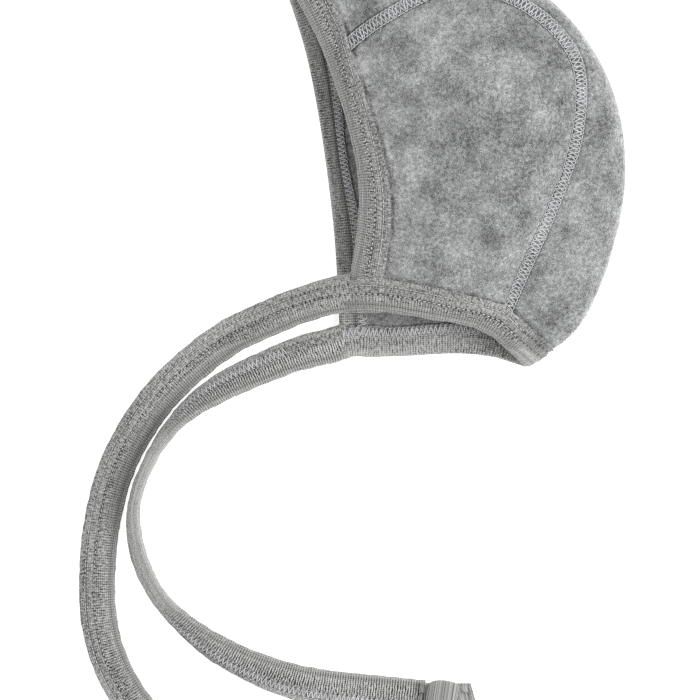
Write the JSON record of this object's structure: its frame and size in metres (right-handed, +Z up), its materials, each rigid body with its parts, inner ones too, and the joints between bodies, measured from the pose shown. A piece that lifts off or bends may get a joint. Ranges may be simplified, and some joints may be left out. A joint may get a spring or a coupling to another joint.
{
  "type": "baby bonnet",
  "caption": "Soft fleece baby bonnet lying on its side: three panels, folded tape round the face and neck, and two flat ties with knots",
  "frame": {"origin": "on the floor, under the middle of the box round the hat without its ties", "axes": "the hat lies on its right side: +Z up from the floor, +Y from the nape to the crown, +X from the face opening to the back of the head"},
  "size_m": [0.241, 0.3848, 0.0485],
  "materials": {
    "side_fleece": "brushed grey melange wool fleece",
    "centre_fleece": "brushed grey melange wool fleece",
    "rib_tape": "fine rib-knit grey melange tape, coverstitched",
    "tie_tape": "fine rib-knit grey melange tape, folded and stitched"
  },
  "bodies": {
    "root": {"left_side_panel": "side_fleece", "right_side_panel": "side_fleece", "centre_panel": "centre_fleece", "face_binding": "rib_tape", "neck_binding": "rib_tape", "left_tie": "tie_tape", "left_tie_knot": "tie_tape", "right_tie": "tie_tape", "right_tie_knot": "tie_tape"}
  },
  "joints": []
}
